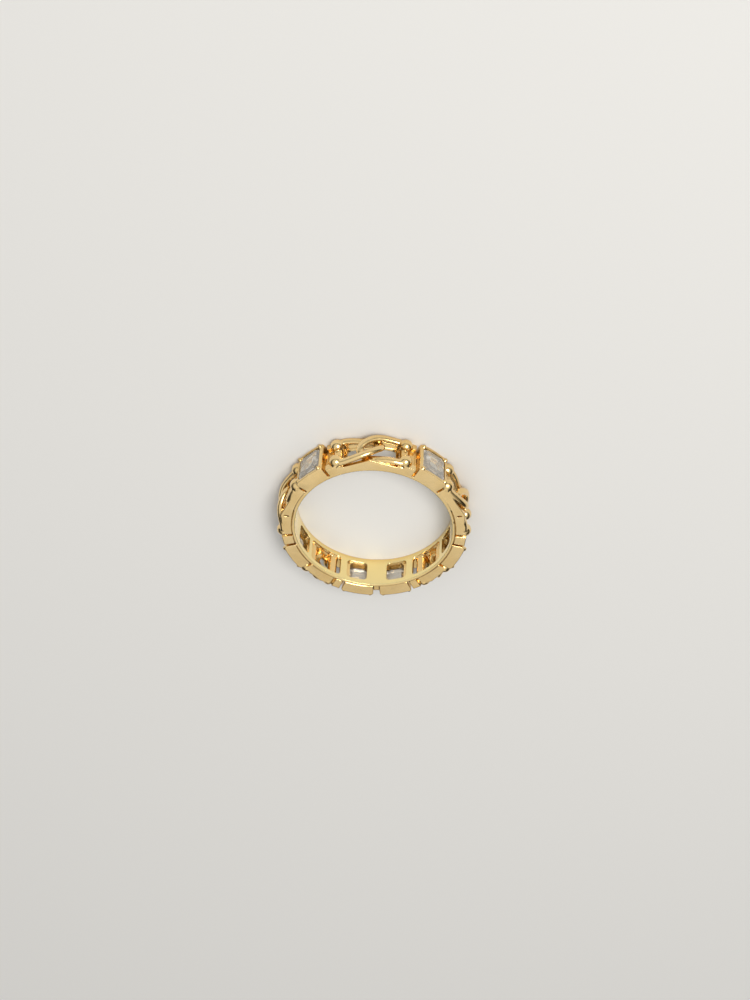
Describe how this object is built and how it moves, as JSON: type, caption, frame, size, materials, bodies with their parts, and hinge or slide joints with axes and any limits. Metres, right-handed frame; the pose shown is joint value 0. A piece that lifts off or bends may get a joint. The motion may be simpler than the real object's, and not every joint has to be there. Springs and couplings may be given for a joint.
{
  "type": "chain link ring",
  "caption": "Finger ring lying on its side: a pierced gold coloured band of hooked chain links with round beads, set with clear step cut baguette stones.",
  "frame": {"origin": "on the ring's axis, in the middle of the finger hole, at the edge that it rests on", "axes": "+Z is the ring's axis, along the finger; -Y points to the middle link of the ring's front, and +Y to the notch at its back"},
  "size_m": [0.0214, 0.0215, 0.004],
  "materials": {
    "gold": "polished, with soft cast edges",
    "stone": "clear, step cut and polished"
  },
  "bodies": {
    "root": {"band": "gold", "stone_1": "stone", "stone_2": "stone", "stone_3": "stone", "stone_4": "stone", "stone_5": "stone", "stone_6": "stone"}
  },
  "joints": []
}
